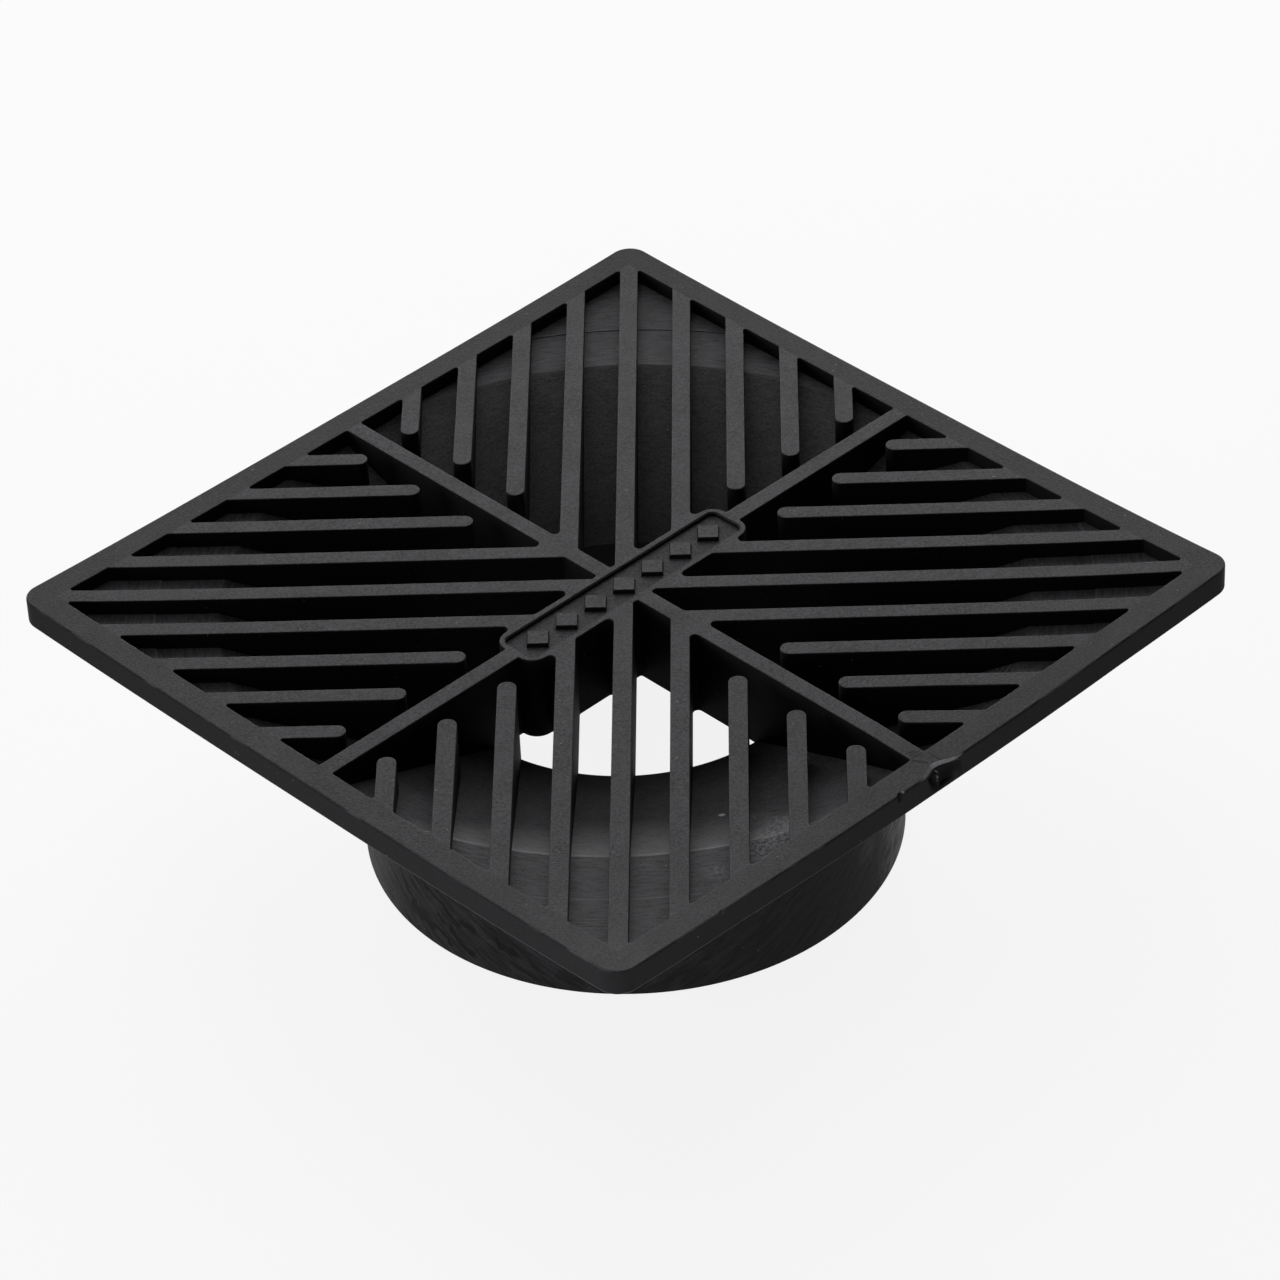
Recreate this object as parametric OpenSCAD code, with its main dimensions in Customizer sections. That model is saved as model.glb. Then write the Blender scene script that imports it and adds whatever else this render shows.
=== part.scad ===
// Square drain grate with a round pipe collar, moulded in one piece.
// The top is a rim, a cross of two ribs and slanted bars that point at the centre.
// Below the bars a shallow dish leads water to a round drain hole over the collar.
// The part stands on the collar's lower rim: z = 0 is that rim, on the collar's axis.

/* [Plate] */
// Side of the square plate
plate_side = 150; // [140:1:180]
// Height of the plate's edge
edge_h = 4.9; // [4:0.1:5.5]
// Radius of the plate's corners, seen from above
corner_r = 4; // [2:0.5:8]
// Rounding of the plate's top and bottom edges
edge_r = 0.4; // [0.2:0.1:0.8]
// Width of the rim around the slots
rim_w = 5; // [4:0.1:6]

/* [Ribs and bars] */
// Width of the two ribs that cross the plate
rib_w = 3.3; // [2.5:0.1:5]
// Width of each slanted bar
bar_w = 3.3; // [2.5:0.1:5]
// Spacing of the bars, measured along a rib
bar_pitch = 13.9; // [12:0.1:16]
// Gap between a bar's free end and the rib beside it
tip_gap = 3; // [2:0.1:5]

/* [Centre plate] */
// Length of the centre plate, along its rib
centre_l = 53.8; // [45:0.1:60]
// Width of the centre plate
centre_w = 10.2; // [9:0.1:12]
// Radius of the centre plate's corners
centre_r = 3.2; // [2:0.1:4]
// Width of the raised border round the recess
border_w = 1.3; // [1:0.1:2]
// Depth of the recess
recess_depth = 0.8; // [0.4:0.1:1.2]
// Number of raised lozenges in the recess
lozenge_n = 7; // [1:1:7]
// Height and width of one lozenge
lozenge_size = 5.6; // [4:0.1:6]

/* [Dish] */
// Depth of the flat floor in the corners, below the top face
floor_drop = 3; // [2.5:0.1:3.5]
// Radius at which the floor starts to fall towards the drain hole
dish_r = 71; // [65:0.5:71]
// Radius of the drain hole
drain_r = 33.5; // [30:0.5:38]
// Wall thickness of the floor and the dish
wall = 3.2; // [2.5:0.1:3.5]
// Height of the upright land round the drain hole
land_h = 0.6; // [0.4:0.1:1]

/* [Collar] */
// Height of the whole part
total_h = 52.6; // [45:0.1:60]
// Depth of the pipe socket, from the collar's rim to the pipe stop
socket_depth = 36; // [30:0.1:36]
// Bore of the pipe socket
socket_d = 83.4; // [80:0.1:86]
// Outer diameter of the collar
collar_d = 96.9; // [94:0.1:100]
// Bevel at the mouth of the socket
mouth_bevel = 1; // [0.5:0.1:2]

/* [Damage] */
// Width of the dent in the front edge, which is round
dent_w = 8.5; // [4:0.5:12]
// How far the dent cuts in at the top face
dent_depth = 1.8; // [0.5:0.1:2.5]
// Place of the small nick along the front edge
nick_x = -9.5; // [-30:0.5:-8]
// Size of the small nick
nick_size = 0.8; // [0.4:0.1:1.5]

/* [Hidden] */
$fn = 96;
eps = 0.01;
half = plate_side / 2;
open_half = half - rim_w;
stop_z = socket_depth;
floor_z = total_h - floor_drop;
edge_z = total_h - edge_h;
pad_side = plate_side - 2 * wall;
pad_r = 2;
land_z = stop_z + land_h;
slope = (floor_z - land_z) / (dish_r - drain_r);
wall_drop = wall * sqrt(1 + slope * slope);
collar_r = collar_d / 2;
socket_r = socket_d / 2;
cone_end_z = floor_z - wall_drop - slope * (dish_r - collar_r);
far_r = plate_side;
full_bars = 1;
last_bar = 4;
tip_x = rib_w / 2 + tip_gap + bar_w / 2;
lozenge_pitch = (centre_l - 2 * border_w) / (lozenge_n + 0.4);
dent_r = (dent_w * dent_w / 4 + dent_depth * dent_depth) / (2 * dent_depth);
dent_x = 0.7;
dent_tilt = 34;
grate_colour = [0.16, 0.16, 0.17];

// A rectangle whose corners are rounded
module rounded_rect(x, y, r) {
    square([x - 2 * r, y], center = true);
    square([x, y - 2 * r], center = true);
    for (sx = [-1, 1], sy = [-1, 1])
        translate([sx * (x / 2 - r), sy * (y / 2 - r)])
            circle(r);
}

// Section across the plate, with its four edges rounded; the plate's edge height is up
module plate_section(w) {
    translate([0, edge_h / 2])
        rounded_rect(w, edge_h, edge_r);
}

// One run of the plate: its full width along one axis, between the rounded corners
module plate_run() {
    rotate([90, 0, 0])
        linear_extrude(plate_side - 2 * corner_r, center = true)
            plate_section(plate_side);
}

// A rounded corner of the plate, turned from half of the same section
module plate_corner() {
    rotate_extrude()
        intersection() {
            plate_section(2 * corner_r);
            square([corner_r, edge_h]);
        }
}

// The solid plate before the slots are cut
module plate() {
    translate([0, 0, edge_z]) {
        plate_run();
        rotate([0, 0, 90]) plate_run();
        for (sx = [-1, 1], sy = [-1, 1])
            translate([sx * (half - corner_r), sy * (half - corner_r), 0])
                plate_corner();
    }
}

// The thicker part under the plate, which gives the floor its wall
module floor_pad() {
    translate([0, 0, floor_z - wall])
        linear_extrude(edge_z - floor_z + wall + eps)
            rounded_rect(pad_side, pad_side, pad_r);
}

// The dish's outside and the collar, turned round the pipe's axis
module dish_and_collar() {
    rotate_extrude($fn = 180)
        polygon([
            [0, stop_z],
            [0, floor_z],
            [dish_r, floor_z],
            [dish_r, floor_z - wall_drop],
            [collar_r, cone_end_z],
            [collar_r, edge_r],
            [collar_r - edge_r, 0],
            [socket_r + mouth_bevel, 0],
            [socket_r, mouth_bevel],
            [socket_r, stop_z]
        ]);
}

// The space inside the dish: level over the corners, falling to the drain hole
module dish_space() {
    rotate_extrude($fn = 180)
        polygon([
            [0, stop_z - eps],
            [drain_r, stop_z - eps],
            [drain_r, land_z],
            [dish_r, floor_z],
            [far_r, floor_z],
            [far_r, total_h + eps],
            [0, total_h + eps]
        ]);
}

// A bar in the first quarter, seen from above, on the line y = x + k * pitch.
// The first bars run in to the cross; the others end free, with a round end.
module bar(k) {
    start = abs(k) <= full_bars ? [0, k * bar_pitch] : [tip_x, tip_x + k * bar_pitch];
    translate(start)
        rotate(45) {
            translate([0, -bar_w / 2])
                square([2 * plate_side, bar_w]);
            circle(d = bar_w);
        }
}

// All bars of the first quarter; those below the diagonal mirror those above it
module quarter_bars() {
    intersection() {
        square(half);
        union() {
            for (k = [0 : last_bar]) {
                bar(k);
                mirror([1, -1]) bar(k);
            }
        }
    }
}

// The lattice seen from above: ribs, bars and the centre plate
module lattice() {
    square([plate_side, rib_w], center = true);
    square([rib_w, plate_side], center = true);
    rounded_rect(centre_l, centre_w, centre_r);
    for (a = [0, 1], b = [0, 1])
        mirror([a, 0]) mirror([0, b]) quarter_bars();
}

// What is cut out between the bars, down to the dish
module slots() {
    intersection() {
        translate([0, 0, stop_z - 1])
            linear_extrude(total_h - stop_z + 2)
                difference() {
                    square(2 * open_half, center = true);
                    lattice();
                }
        dish_space();
    }
}

// The recess in the centre plate, with a row of plain lozenges left standing in it
module centre_recess() {
    translate([0, 0, total_h - recess_depth])
        linear_extrude(recess_depth + eps)
            difference() {
                rounded_rect(centre_l - 2 * border_w, centre_w - 2 * border_w, border_w);
                for (i = [0 : lozenge_n - 1])
                    translate([(i - (lozenge_n - 1) / 2) * lozenge_pitch, 0])
                        rotate(45)
                            square(lozenge_size / sqrt(2), center = true);
            }
}

// A round dent that leans inwards at the top, and a small nick beside it
module edge_damage() {
    translate([dent_x, -half + dent_depth - dent_r, total_h])
        rotate([-dent_tilt, 0, 0])
            translate([0, 0, -2 * edge_h])
                cylinder(h = 4 * edge_h, r = dent_r);
    translate([nick_x, -half, total_h])
        rotate([0, 20, 45])
            cube(nick_size, center = true);
}

// The whole moulding
module grate() {
    color(grate_colour)
        difference() {
            union() {
                plate();
                floor_pad();
                dish_and_collar();
            }
            slots();
            centre_recess();
            edge_damage();
        }
}

grate();
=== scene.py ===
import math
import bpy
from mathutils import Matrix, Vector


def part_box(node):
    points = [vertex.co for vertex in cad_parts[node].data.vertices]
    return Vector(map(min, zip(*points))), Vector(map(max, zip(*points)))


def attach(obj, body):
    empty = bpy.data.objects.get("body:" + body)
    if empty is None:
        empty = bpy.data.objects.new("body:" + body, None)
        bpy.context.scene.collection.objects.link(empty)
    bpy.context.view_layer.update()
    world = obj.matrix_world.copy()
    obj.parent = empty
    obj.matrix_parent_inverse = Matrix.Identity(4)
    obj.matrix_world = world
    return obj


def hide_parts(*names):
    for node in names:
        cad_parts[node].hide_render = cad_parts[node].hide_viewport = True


bl_info = {
    "name": "Drain Grate",
    "version": (1, 0, 0),
    "blender": (4, 5, 0),
    "location": "View3D > Sidebar > Drain Grate",
    "description": "Builds a moulded drain grate with slanted bars, a dish and a round collar",
    "category": "Object",
}

import bmesh
import bpy
from bpy.props import FloatProperty, FloatVectorProperty, IntProperty, PointerProperty
from mathutils import Quaternion, Vector

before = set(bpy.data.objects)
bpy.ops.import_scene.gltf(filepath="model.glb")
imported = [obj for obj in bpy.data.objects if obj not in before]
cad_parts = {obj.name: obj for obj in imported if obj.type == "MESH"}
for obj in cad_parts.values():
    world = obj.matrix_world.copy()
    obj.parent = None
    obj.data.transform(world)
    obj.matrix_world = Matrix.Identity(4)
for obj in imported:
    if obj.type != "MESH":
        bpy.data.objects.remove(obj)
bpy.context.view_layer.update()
PART_LOW, PART_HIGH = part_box("grate")
TOP = PART_HIGH[2]
PLATE_SIDE = PART_HIGH[0] - PART_LOW[0]
# How far the plate's outer faces are from the axis
FACE = PLATE_SIDE / 2
MM = 0.001
# Corners nearer to each other than this are merged
SHORTEST_EDGE = 0.003 * MM


# Settings that a user would change

def length(name, description, default_mm, low_mm=0.0, high_mm=200.0):
    """A size property, given in millimetres and kept in metres."""
    return FloatProperty(
        name=name,
        description=description,
        default=default_mm * MM,
        min=low_mm * MM,
        max=high_mm * MM,
        precision=5,
        unit="LENGTH",
        subtype="DISTANCE",
    )


def colour(name, description, hex_code):
    """A colour property, given as sRGB hex and kept linear."""
    return FloatVectorProperty(
        name=name,
        description=description,
        default=linear(hex_code),
        min=0.0,
        max=1.0,
        size=3,
        subtype="COLOR",
    )


def linear(hex_code):
    """The linear red, green and blue of an sRGB hex colour such as #3C3C3E."""
    parts = [int(hex_code[i : i + 2], 16) / 255 for i in (1, 3, 5)]
    return tuple(c / 12.92 if c <= 0.04045 else ((c + 0.055) / 1.055) ** 2.4 for c in parts)


class GrateSizes(bpy.types.PropertyGroup):
    """Sizes of the moulding."""

    edge_height: length("Edge height", "Height of the plate's edge", 4.9)
    corner_radius: length("Corner radius", "Radius of the plate's corners", 4.0)
    edge_rounding: length("Edge rounding", "Rounding of the plate's outer edges", 0.35)
    slot_rounding: length("Slot rounding", "Rounding of the bars' top edges", 0.18)
    rim_width: length("Rim width", "Width of the rim around the slots", 5.0)
    rib_width: length("Rib width", "Width of the two crossing ribs", 3.3)
    bar_width: length("Bar width", "Width of each slanted bar", 3.3)
    bar_pitch: length("Bar pitch", "Spacing of the bars along a rib", 13.9)
    tip_gap: length("Tip gap", "Gap between a bar's free end and the rib", 3.0)
    rim_fillet: length("Fillet at the rim", "Radius where bars meet the rim", 0.4)
    cross_fillet: length("Fillet at the cross", "Radius where bars meet ribs", 0.9)
    centre_length: length("Centre plate length", "Length along its rib", 53.8)
    centre_width: length("Centre plate width", "Width across its rib", 10.2)
    centre_radius: length("Centre plate radius", "Radius of its corners", 3.2)
    border_width: length("Border width", "Raised border round the recess", 1.3)
    recess_depth: length("Recess depth", "Depth of the recess", 0.8)
    lozenge_size: length("Lozenge size", "Height and width of a raised lozenge", 5.6)
    lozenge_count: IntProperty(
        name="Lozenges", description="Raised lozenges in the recess", default=7, min=1, max=7
    )
    floor_drop: length("Floor drop", "Depth of the floor in the corners", 3.0)
    dish_radius: length("Dish radius", "Where the floor starts to fall", 71.0)
    drain_radius: length("Drain radius", "Radius of the drain hole", 33.5)
    wall: length("Wall", "Wall thickness of the dish", 3.2)
    land_height: length("Land height", "Upright land round the drain hole", 0.6)
    socket_depth: length("Socket depth", "From the collar's rim to the stop inside it", 36.0)
    socket_diameter: length("Socket diameter", "Bore of the collar", 83.4)
    collar_diameter: length("Collar diameter", "Outside of the collar", 96.9)
    mouth_bevel: length("Mouth bevel", "Bevel at the mouth of the socket", 1.0)
    root_fillet: length("Root fillet", "Radius where the collar meets the dish", 1.5)
    witness_radius: length("Insert line radius", "Fine step where the mould's insert ends", 82.0)
    witness_step: length("Insert line step", "Height of that fine step", 0.15)
    corner_lift: length("Corner lift", "How far the warped corners rise, on average", 1.0)
    front_sag: length("Front sag", "How far the middle of the front edge hangs", 0.5)


class GrateColours(bpy.types.PropertyGroup):
    """Colours of the plastic and of the stage."""

    plastic: colour("Plastic", "Black polyolefin of the moulding", "#222224")
    # Bloom also stands for painted sheen and light: on upward faces, on the dish's near band and
    # level floor, and at the collar's left edge
    bloom_and_painted_light: colour("Bloom", "Paler grain where the skin is rubbed", "#5A5A5D")
    # Streak also stands for painted shade inside the dent
    streak_and_painted_shade: colour("Streak", "Dark flow streaks and fine cracks", "#0C0C0D")
    # Scuff also stands for painted highlights on the dish's crease and insert line, and a painted
    # reflection on the lower edge
    scuff_and_highlight: colour("Scuff", "Pale scuffs and fine edges", "#8C8C8F")
    # Stretched also stands for a painted highlight on the dent's lip and a painted reflection at
    # the collar's right edge
    whitened_and_highlight: colour("Stretched", "Whitened plastic at the dent and on the collar", "#B8B8BB")
    backdrop: colour("Backdrop", "Floor and background", "#FFFFFF")


# Small helpers for meshes and node trees

def add_node(tree, kind, inputs=(), **settings):
    """Adds a node with these settings. Its inputs are values or other nodes' outputs.

    A dictionary names or numbers the sockets, and a tuple fills those in use in their order.
    """
    item = tree.nodes.new(kind)
    for key, value in settings.items():
        setattr(item, key, value)
    if not isinstance(inputs, dict):
        in_use = [number for number, socket in enumerate(item.inputs) if socket.enabled]
        inputs = dict(zip(in_use, inputs))
    for key, value in inputs.items():
        socket = item.inputs[key]
        if isinstance(value, bpy.types.NodeSocket):
            tree.links.new(value, socket)
        elif socket.type == "RGBA" and len(value) == 3:
            socket.default_value = (*value, 1.0)
        else:
            socket.default_value = value
    return item


def arc(centre, radius, start, end, steps):
    """Points along a circle's arc from one angle to another, in degrees."""
    angles = [math.radians(start + (end - start) * i / steps) for i in range(steps + 1)]
    x, y = centre
    return [(x + radius * math.cos(a), y + radius * math.sin(a)) for a in angles]


def rounded_rectangle(width, depth, radius, steps=10):
    """The outline of a rectangle with round corners, anticlockwise, centred on the axis."""
    x, y = width / 2 - radius, depth / 2 - radius
    corners = (((x, y), 0), ((-x, y), 90), ((-x, -y), 180), ((x, -y), 270))
    return [p for centre, start in corners for p in arc(centre, radius, start, start + 90, steps)]


def new_object(name, data):
    """An object in the scene that holds this mesh or curve."""
    item = bpy.data.objects.new(name, data)
    bpy.context.scene.collection.objects.link(item)
    return item


def lofted_solid(name, rings):
    """A closed solid from rings of equal count, listed from the bottom up, as (outline, z)."""
    count = len(rings[0][0])
    points = [(x, y, z) for outline, z in rings for x, y in outline]
    faces = [list(range(count))[::-1]]
    for level in range(len(rings) - 1):
        base = level * count
        for i in range(count):
            j = (i + 1) % count
            faces.append([base + i, base + j, base + count + j, base + count + i])
    last = (len(rings) - 1) * count
    faces.append([last + i for i in range(count)])
    mesh = bpy.data.meshes.new(name)
    mesh.from_pydata(points, [], faces)
    return new_object(name, mesh)


def turned_solid(name, profile, steps=240):
    """A closed solid turned round the Z axis from a closed profile of (radius, z) points.

    The profile runs with the solid on its left. Points on the axis become one vertex.
    """
    points, rows = [], []
    for radius, z in profile:
        if radius == 0:
            rows.append([len(points)] * steps)
            points.append((0.0, 0.0, z))
            continue
        rows.append(list(range(len(points), len(points) + steps)))
        for i in range(steps):
            a = 2 * math.pi * i / steps
            points.append((radius * math.cos(a), radius * math.sin(a), z))
    faces = []
    for k, row in enumerate(rows):
        after = rows[(k + 1) % len(rows)]
        if row[0] == row[1] and after[0] == after[1]:
            continue
        for i in range(steps):
            j = (i + 1) % steps
            ring = [row[i], row[j], after[j], after[i]]
            faces.append(list(dict.fromkeys(ring)))
    mesh = bpy.data.meshes.new(name)
    mesh.from_pydata(points, [], faces)
    return new_object(name, mesh)


def polyline_object(name, loops, closed=True):
    """A curve object of straight-sided loops, each a list of (x, y, corner radius)."""
    data = bpy.data.curves.new(name, "CURVE")
    data.dimensions = "3D"
    for loop in loops:
        line = data.splines.new("POLY")
        line.points.add(len(loop) - 1)
        for point, (x, y, radius) in zip(line.points, loop):
            point.co = (x, y, 0.0, 1.0)
            point.radius = radius
        line.use_cyclic_u = closed
    return new_object(name, data)


def remove(*items):
    """Deletes working objects and their data."""
    for item in items:
        data = item.data
        bpy.data.objects.remove(item)
        if data.users == 0:
            (bpy.data.meshes if isinstance(data, bpy.types.Mesh) else bpy.data.curves).remove(data)


# The moulding's outlines and sections

def slot_outlines(s):
    """The four slots of the first quarter, anticlockwise, as (x, y, corner radius) points.

    The bars lie on lines y = x + k * pitch. The slots below the diagonal mirror those above
    it, apart from where the centre plate cuts them short.
    """
    side = s.rib_width / 2
    reach = s.bar_width / math.sqrt(2)
    opening = FACE - s.rim_width
    plate_y = s.centre_width / 2
    plate_x = s.centre_length / 2
    pitch = s.bar_pitch
    rim, cross, tip = s.rim_fillet, s.cross_fillet, s.bar_width / 2
    tip_fillet = 0.97 * tip

    def free_end(k):
        """The two corners of a free bar's square end; their fillets make it round."""
        x = side + s.tip_gap + tip
        step = tip / math.sqrt(2)
        return (x, x + k * pitch - 2 * step), (x - 2 * step, x + k * pitch)

    inner = [
        (side, plate_y, cross / 2),
        (plate_y - reach, plate_y, cross / 2),
        (opening - reach, opening, rim),
        (opening - pitch + reach, opening, rim),
        (side, side + pitch - reach, cross),
    ]
    inner_side = [
        (plate_y + reach, plate_y, cross),
        (plate_y + pitch - reach, plate_y, cross),
        (opening, opening - pitch + reach, rim),
        (opening, opening - reach, rim),
    ]
    combs = []
    for below in (False, True):
        comb = [(opening - pitch - reach, opening, rim)]
        for k in (2, 3, 4):
            near, far = free_end(k)
            comb += [
                (opening - k * pitch + reach, opening, rim),
                (*near, tip_fillet),
                (*far, tip_fillet),
                (opening - k * pitch - reach, opening, rim),
            ]
        comb.append((side, opening, rim))
        if below:
            comb += [
                (side, plate_x, cross / 4),
                (plate_y, plate_x, s.centre_radius),
                (plate_y, plate_y + pitch + reach, cross),
            ]
            comb = [(y, x, r) for x, y, r in reversed(comb)]
        else:
            comb.append((side, side + pitch + reach, cross))
        combs.append(comb)
    return [inner, inner_side, *combs]


def plate_rings(s):
    """Rings of the plate, with its lower and upper edges rounded."""
    r = s.edge_rounding
    low, high = TOP - s.edge_height + r, TOP - r
    section = [(r - x, low - y) for x, y in arc((0, 0), r, 90, 0, 6)]
    section += [(r - x, high + y) for x, y in arc((0, 0), r, 0, 90, 6)]
    rings = []
    for inset, z in section:
        side = PLATE_SIDE - 2 * inset
        rings.append((rounded_rectangle(side, side, s.corner_radius - inset), z))
    return rings


def body_profile(s):
    """Section of the dish's underside and the collar, with the solid on its left."""
    fall = TOP - s.floor_drop - s.socket_depth - s.land_height
    slope = fall / (s.dish_radius - s.drain_radius)
    angle = math.degrees(math.atan(slope))
    drop = s.wall * math.sqrt(1 + slope * slope)
    floor = TOP - s.floor_drop
    outer, bore = s.collar_diameter / 2, s.socket_diameter / 2
    root_z = floor - drop - slope * (s.dish_radius - outer)
    half_turn = (90 - angle) / 2
    setback = s.root_fillet * math.tan(math.radians(half_turn))
    root = arc((outer + s.root_fillet, root_z - setback), s.root_fillet, 180, 90 + angle, 6)
    foot = s.edge_rounding
    return [
        (0.0, s.socket_depth),
        (bore, s.socket_depth),
        (bore, s.mouth_bevel),
        (bore + s.mouth_bevel, 0.0),
        *arc((outer - foot, foot), foot, -90, 0, 6),
        *root,
        (s.dish_radius, floor - drop),
        (s.dish_radius, floor),
        (0.0, floor),
    ]


def dish_profile(s):
    """Section of the space inside the dish, with the solid on its left."""
    floor = TOP - s.floor_drop
    below = s.socket_depth - 1 * MM
    above = TOP + 2 * MM
    line, step = s.witness_radius, s.witness_step
    return [
        (0.0, below),
        (s.drain_radius, below),
        (s.drain_radius, s.socket_depth + s.land_height),
        (s.dish_radius, floor),
        (line, floor),
        (line, floor + step),
        (PLATE_SIDE, floor + step),
        (PLATE_SIDE, above),
        (0.0, above),
    ]


# Wear on the front edge: x positions, then rows of how far below the top face and how deep
# the edge is cut at each position, all in millimetres. A depth below 0 leaves the edge whole.
DENT = (
    (-4.2, -3.5, -2.9, -2.1, -1.1, 0.0, 1.0, 2.2, 3.5, 4.9, 5.6),
    (
        (0.0, (0.0, 0.35, 0.75, 0.95, 1.4, 1.8, 1.7, 1.25, 0.6, 0.1, 0.0)),
        (0.15, (-0.1, 0.2, 0.55, 0.75, 1.15, 1.55, 1.45, 1.0, 0.4, 0.0, -0.1)),
        (0.45, (-0.1, 0.05, 0.3, 0.5, 0.85, 1.15, 1.05, 0.65, 0.2, -0.05, -0.1)),
        (0.8, (-0.1, 0.0, 0.2, 0.4, 0.8, 1.05, 0.95, 0.6, 0.25, 0.0, -0.1)),
        (1.2, (-0.1, -0.1, -0.05, 0.7, 1.3, 0.35, 1.2, 1.2, 0.9, 0.4, -0.1)),
        (2.0, (-0.1, -0.1, -0.05, 0.6, 1.3, 0.3, 1.2, 1.2, 0.9, 0.4, -0.1)),
        (2.9, (-0.1, -0.1, -0.1, 0.2, 0.8, 0.3, 1.1, 1.1, 0.8, 0.3, -0.1)),
        (3.8, (-0.1, -0.1, -0.1, -0.05, 0.2, 0.3, 0.8, 0.8, 0.5, 0.1, -0.1)),
        (4.6, (-0.1,) * 11),
    ),
)
NICK = (
    (-10.15, -9.75, -9.3, -8.95, -8.75),
    (
        (0.0, (0.0, 0.5, 0.65, 0.45, 0.0)),
        (0.4, (-0.1, 0.5, 0.55, 0.2, -0.1)),
        (1.0, (-0.1, 0.3, 0.2, -0.1, -0.1)),
        (1.6, (-0.1,) * 5),
    ),
)
SMALL_NICK = (
    (-52.0, -51.6, -51.1, -50.7, -50.4),
    (
        (0.0, (0.0, 0.35, 0.45, 0.2, 0.0)),
        (0.4, (-0.1, 0.25, 0.2, -0.1, -0.1)),
        (0.8, (-0.1,) * 5),
    ),
)


def smoothed(values, steps=4):
    """Values on a smooth curve through these, with this many steps between each two."""
    ends = [values[0], *values, values[-1]]
    result = []
    for i in range(1, len(ends) - 2):
        p, q, r, s = ends[i - 1 : i + 3]
        bend, twist = 2 * p - 5 * q + 4 * r - s, 3 * q - p - 3 * r + s
        for k in range(steps):
            f = k / steps
            result.append(q + 0.5 * ((r - p) * f + bend * f**2 + twist * f**3))
    return [*result, values[-1]]


def edge_bite(name, places, rows):
    """A solid that cuts a worn place out of the front edge."""
    across = smoothed(places)
    left, right = (across[0] - 0.3) * MM, (across[-1] + 0.3) * MM
    rings = []
    for below, depths in ((-1.0, rows[0][1]), *rows):
        cut = [(x * MM, -FACE + d * MM) for x, d in zip(across, smoothed(depths))]
        outside = [(left, -FACE - 2 * MM), (right, -FACE - 2 * MM)]
        rings.append((outside + cut[::-1], TOP - below * MM))
    return lofted_solid(name, rings[::-1])


# Geometry nodes

def new_tree(name, sockets):
    """A modifier tree with a geometry in and out, and these further inputs."""
    tree = bpy.data.node_groups.new(name, "GeometryNodeTree")
    tree.is_modifier = True
    tree.interface.new_socket("Geometry", in_out="INPUT", socket_type="NodeSocketGeometry")
    for label, kind in sockets:
        tree.interface.new_socket(label, in_out="INPUT", socket_type="NodeSocket" + kind)
    tree.interface.new_socket("Geometry", in_out="OUTPUT", socket_type="NodeSocketGeometry")
    return tree, tree.nodes.new("NodeGroupInput").outputs


def run_tree(item, tree, values):
    """Gives an object's data as a plain mesh after this tree, with its inputs by name."""
    modifier = item.modifiers.new(tree.name, "NODES")
    modifier.node_group = tree
    for socket in tree.interface.items_tree:
        if socket.item_type == "SOCKET" and socket.in_out == "INPUT" and socket.name in values:
            modifier[socket.identifier] = values[socket.name]
    bpy.context.view_layer.update()
    graph = bpy.context.evaluated_depsgraph_get()
    mesh = bpy.data.meshes.new_from_object(item.evaluated_get(graph))
    item.modifiers.remove(modifier)
    return mesh


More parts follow.
